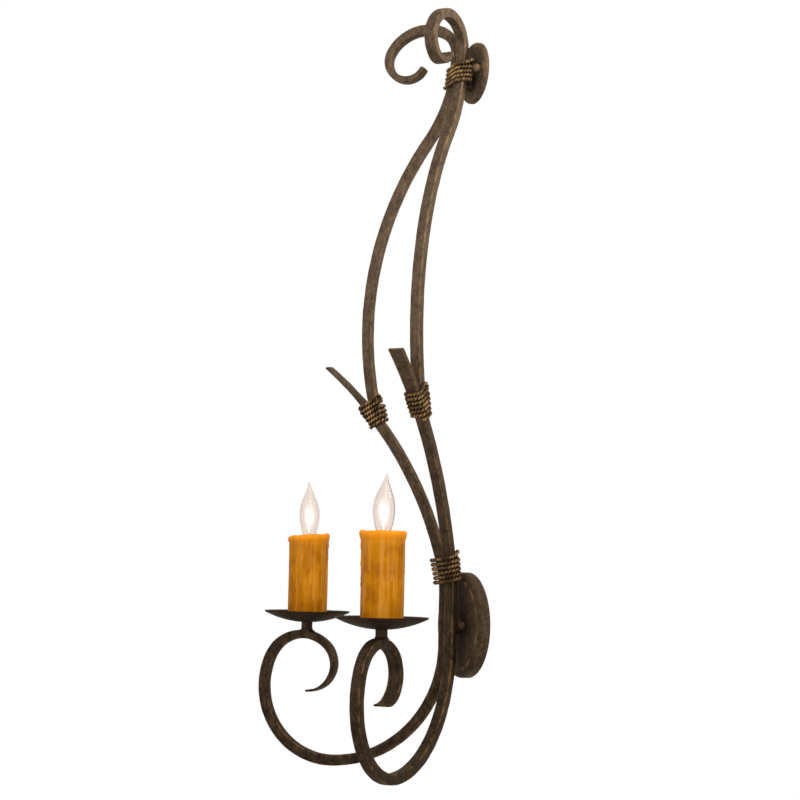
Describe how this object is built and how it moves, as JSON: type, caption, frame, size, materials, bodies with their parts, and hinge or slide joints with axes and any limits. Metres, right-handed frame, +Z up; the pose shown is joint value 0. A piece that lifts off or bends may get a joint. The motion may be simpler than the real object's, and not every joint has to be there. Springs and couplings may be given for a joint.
{
  "type": "candle wall light",
  "caption": "Tall wall light of splayed square bars bound with wire, with scrolls at the top and candle lamps standing in drip pans on curled lower arms.",
  "frame": {"origin": "centre of the wall canopy on the wall plane, midway between the strap's screw slots", "axes": "+Z up along the wall, +X to the right as seen from the room, +Y into the wall; the light stands out to -Y"},
  "size_m": [0.3496, 0.2153, 0.9242],
  "materials": {
    "bronze": "aged bronze paint rubbed on the edges",
    "wrap_wire": "twisted wire in rubbed bronze",
    "candle_resin": "honey-coloured wax-like resin with drips",
    "clear_glass": "clear",
    "brass": "plain",
    "holder_plastic": "moulded",
    "lead_jacket": "smooth",
    "filament_wire": "drawn",
    "plated_steel": "zinc plated"
  },
  "bodies": {
    "frame": {"bar_collar": "bronze", "canopy": "bronze", "canopy_ball_nuts": "bronze", "canopy_studs": "plated_steel", "center_contact_left": "brass", "center_contact_right": "brass", "center_nipple": "plated_steel", "drip_pan_left": "bronze", "drip_pan_right": "bronze", "ground_screw": "plated_steel", "lead_left": "lead_jacket", "lead_right": "lead_jacket", "lower_arm_left": "bronze", "lower_arm_right": "bronze", "lower_wrap": "wrap_wire", "mid_wrap_left": "wrap_wire", "mid_wrap_right": "wrap_wire", "mounting_strap": "plated_steel", "nipple_lock_nut": "plated_steel", "pan_lock_nut_left": "plated_steel", "pan_lock_nut_right": "plated_steel", "pan_nipple_left": "plated_steel", "pan_nipple_right": "plated_steel", "screw_shell_left": "brass", "screw_shell_right": "brass", "socket_left": "holder_plastic", "socket_right": "holder_plastic", "stem_left": "bronze", "stem_right": "bronze", "top_ball_nuts": "bronze", "top_plate": "bronze", "top_post": "bronze", "top_post_screw": "plated_steel", "top_strap": "plated_steel", "top_studs": "plated_steel", "top_wrap": "wrap_wire", "upper_bar_left": "bronze", "upper_bar_right": "bronze", "wire_connectors": "lead_jacket"},
    "candle_left": {"candle_sleeve_left": "candle_resin"},
    "bulb_left": {"bulb_base_left": "brass", "bulb_glass_left": "clear_glass", "bulb_mount_left": "clear_glass", "bulb_filament_left": "filament_wire"},
    "candle_right": {"candle_sleeve_right": "candle_resin"},
    "bulb_right": {"bulb_base_right": "brass", "bulb_glass_right": "clear_glass", "bulb_mount_right": "clear_glass", "bulb_filament_right": "filament_wire"}
  },
  "joints": [
    {"name": "candle_left_lift", "type": "slide", "parent": "frame", "child": "candle_left", "axis": [0, 0, 1], "range_m": [0, 0.17]},
    {"name": "bulb_left_lift", "type": "slide", "parent": "frame", "child": "bulb_left", "axis": [0, 0, 1], "range_m": [0, 0.06]},
    {"name": "candle_right_lift", "type": "slide", "parent": "frame", "child": "candle_right", "axis": [0, 0, 1], "range_m": [0, 0.17]},
    {"name": "bulb_right_lift", "type": "slide", "parent": "frame", "child": "bulb_right", "axis": [0, 0, 1], "range_m": [0, 0.06]}
  ]
}
